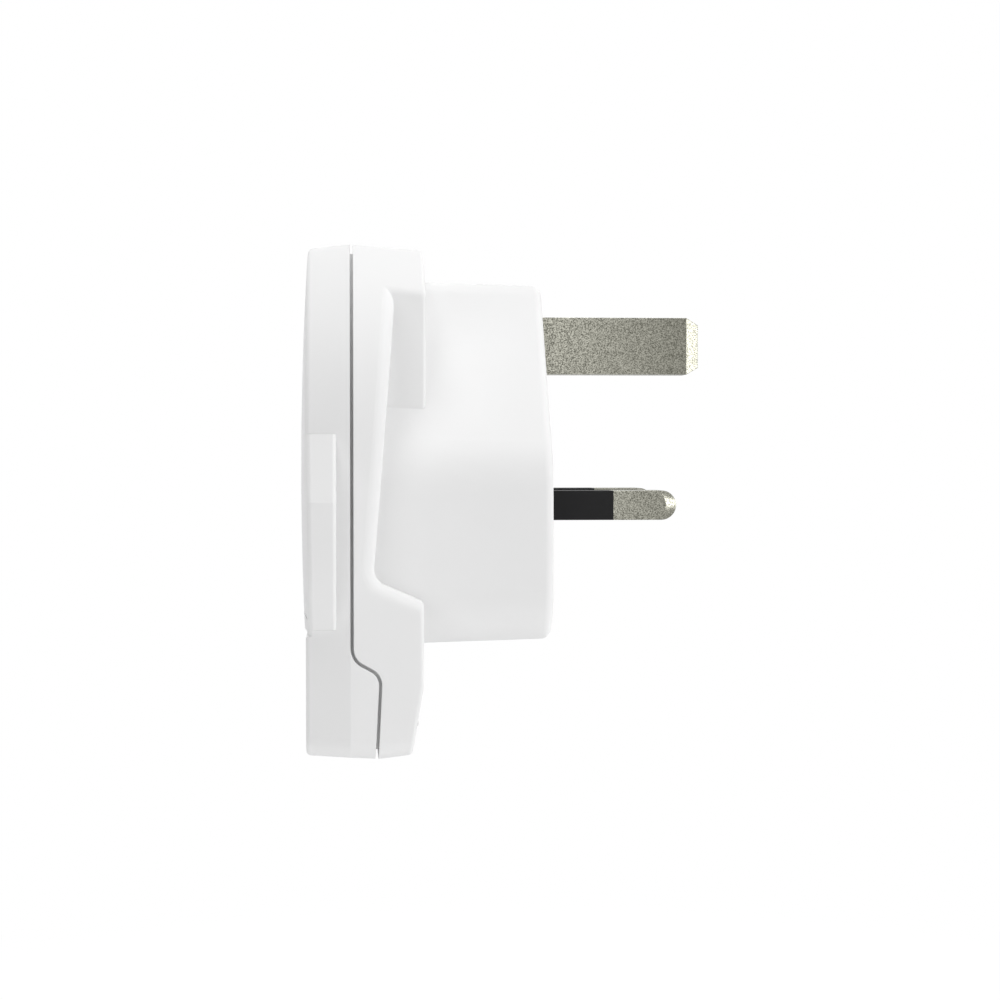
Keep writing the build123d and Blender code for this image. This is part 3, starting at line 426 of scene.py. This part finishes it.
def bowed_leaf(wall_x, inwards, y, z, rise):
    """Rings of a leaf: a chamfered flat section carried up the wall and lifted by rise times a squared sine."""
    along = np.linspace(0, 1, leaf_rings)[:, None]
    flat, deep = leaf_half - leaf_chamfer, leaf_thick - leaf_chamfer
    across = np.array([-flat, flat, leaf_half, leaf_half, flat, -flat, -leaf_half, -leaf_half])[None, :]
    through = np.array([0, 0, leaf_chamfer, deep, leaf_thick, leaf_thick, deep, leaf_chamfer])[None, :]
    lift = rise * np.sin(np.pi * along) ** 2 - leaf_sink
    rings = np.broadcast_arrays(wall_x + inwards * (lift + through), y - inwards * across, z + leaf_length * along)
    return np.stack(rings, axis=-1)


for name in ("left", "right"):
    low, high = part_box("usb_shell_" + name)
    middle = (low.y + high.y) / 2
    leaves = [bowed_leaf(wall, inwards, middle + side * leaf_apart, low.z + leaf_start, rise)
              for wall, inwards, rise in ((low.x + sheet, 1, low_rise), (high.x - sheet, -1, high_rise))
              for side in (-1, 1)]
    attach(piece_of_rings("usb_springs_" + name, leaves, "usb_steel"), "housing")

# %% [markdown]
# ## Floor
#
# The adapter hangs in a socket and doesn't stand, so the floor lies below the picture's edge. It takes a soft shadow
# in the higher views and has to meet the white sky without a line. A lit plane would go grey towards the horizon, so
# the floor's own light fills in what the lamps don't reach: near the adapter much of its brightness comes from the
# lamps, and further off it is plain white. For the rays that only carry light it is a white card with a faint glow,
# which lights the adapter from below.

# %% Floor
floor_z = -0.09
floor_half = 6.0
shadow_radius = 0.16
near_grey, near_glow = 0.45, 0.62
card_grey, card_glow = 0.8, 0.13
corners = np.array([[-1, -1], [1, -1], [1, 1], [-1, 1]], float) * floor_half
floor_mesh = bpy.data.meshes.new("floor")
floor_mesh.from_pydata(np.column_stack([corners, np.full(4, floor_z)]).tolist(), [], [(0, 1, 2, 3)])
floor = bpy.data.objects.new("floor", floor_mesh)
bpy.context.scene.collection.objects.link(floor)
floor_finish, tree, place = start_finish("white_floor")


def lit_and_glowing(value, strength):
    """A matt grey surface with a white light of its own added to it."""
    lit = add_node(tree, "BsdfDiffuse", Color=grey(value))
    glow = add_node(tree, "Emission", Color=grey(1.0), Strength=strength)
    return add_node(tree, "AddShader", _0=lit.outputs[0], _1=glow.outputs[0]).outputs[0]


level_place = add_node(tree, "VectorMath", {"operation": "MULTIPLY"}, _0=place, _1=(1, 1, 0))
away = add_node(tree, "VectorMath", {"operation": "LENGTH"}, _0=level_place.outputs["Vector"])
reach = add_node(tree, "MapRange", {"interpolation_type": "SMOOTHSTEP"}, Value=away.outputs["Value"],
                 From_Min=shadow_radius / 3, From_Max=shadow_radius)
plain = add_node(tree, "Emission", Color=grey(1.0), Strength=1.0)
near = lit_and_glowing(near_grey, near_glow)
seen = add_node(tree, "MixShader", Fac=reach.outputs[0], _1=near, _2=plain.outputs[0])
card = lit_and_glowing(card_grey, card_glow)
end_finish(tree, add_node(tree, "MixShader", Fac=seeing_ray(tree), _1=card, _2=seen.outputs[0]))
floor_mesh.materials.append(floor_finish)
print("floor", floor_z)
